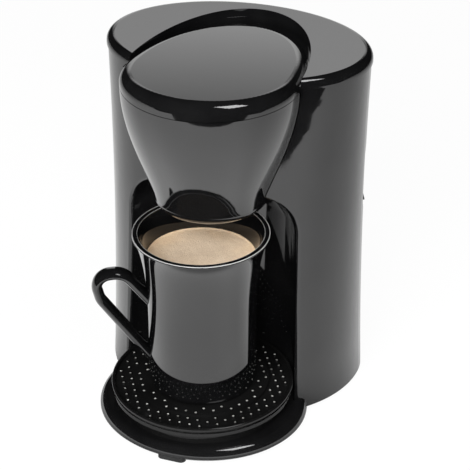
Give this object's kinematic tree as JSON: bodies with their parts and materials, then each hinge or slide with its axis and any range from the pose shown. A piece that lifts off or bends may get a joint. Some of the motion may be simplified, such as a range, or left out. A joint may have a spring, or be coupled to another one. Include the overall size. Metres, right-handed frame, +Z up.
{
  "type": "one-cup drip coffee maker",
  "caption": "Glossy black drip coffee maker with an oval column, a round filter funnel over a domed cup bay, a hinged lid, a studded drip tray and a flared mug.",
  "frame": {"origin": "on the table, under the middle of the outline seen from above", "axes": "+Z up, front (mug side) towards -Y, the switch on the +X side"},
  "size_m": [0.1586, 0.179, 0.2205],
  "materials": {
    "black_gloss": "high-gloss moulded black",
    "black_matte": "fine satin black",
    "black_tray": "half-gloss moulded black",
    "black_glaze": "high-gloss black glaze",
    "filter_frame": "satin dark plastic",
    "filter_mesh": "fine nylon gauze",
    "tank_pipe": "natural plastic",
    "aluminium": "drawn bar",
    "steel": "plated",
    "silicone": "translucent white",
    "rubber": "matte"
  },
  "bodies": {
    "machine": {"main_housing": "black_gloss", "cup_bay": "black_gloss", "plinth": "black_gloss", "base_plate": "black_matte", "base_screws": "steel", "feet": "rubber", "cord_gland": "rubber", "filter_head": "black_gloss", "filter_basket": "black_matte", "filter_frame": "filter_frame", "filter_mesh": "filter_mesh", "water_tank": "black_matte", "riser_pipe": "tank_pipe", "water_spout": "black_matte", "boiler": "aluminium", "heater_ends": "steel", "boiler_bracket": "steel", "bracket_screws": "steel", "thermostat": "steel", "inlet_hose": "silicone", "riser_hose": "silicone", "hose_clamps": "steel", "switch_frame": "black_matte", "hinge_pin": "steel"},
    "lid": {"lid": "black_gloss"},
    "rocker": {"rocker": "black_gloss"},
    "tray": {"drip_tray": "black_tray"},
    "mug": {"mug": "black_glaze"}
  },
  "joints": [
    {"name": "lid_hinge", "type": "hinge", "parent": "machine", "child": "lid", "pos_m": [0, 0.0863, 0.2129], "axis": [-1, 0, 0], "range_deg": [0, 100]},
    {"name": "switch_rocker", "type": "hinge", "parent": "machine", "child": "rocker", "pos_m": [0.06846, 0.04604, 0.137], "axis": [-0.3762, 0.9265, 0], "range_deg": [0, 14]},
    {"name": "tray_out", "type": "slide", "parent": "machine", "child": "tray", "axis": [0, -1, 0], "range_m": [0, 0.15]},
    {"name": "mug_out", "type": "slide", "parent": "tray", "child": "mug", "axis": [0, -1, 0], "range_m": [0, 0.12]}
  ]
}
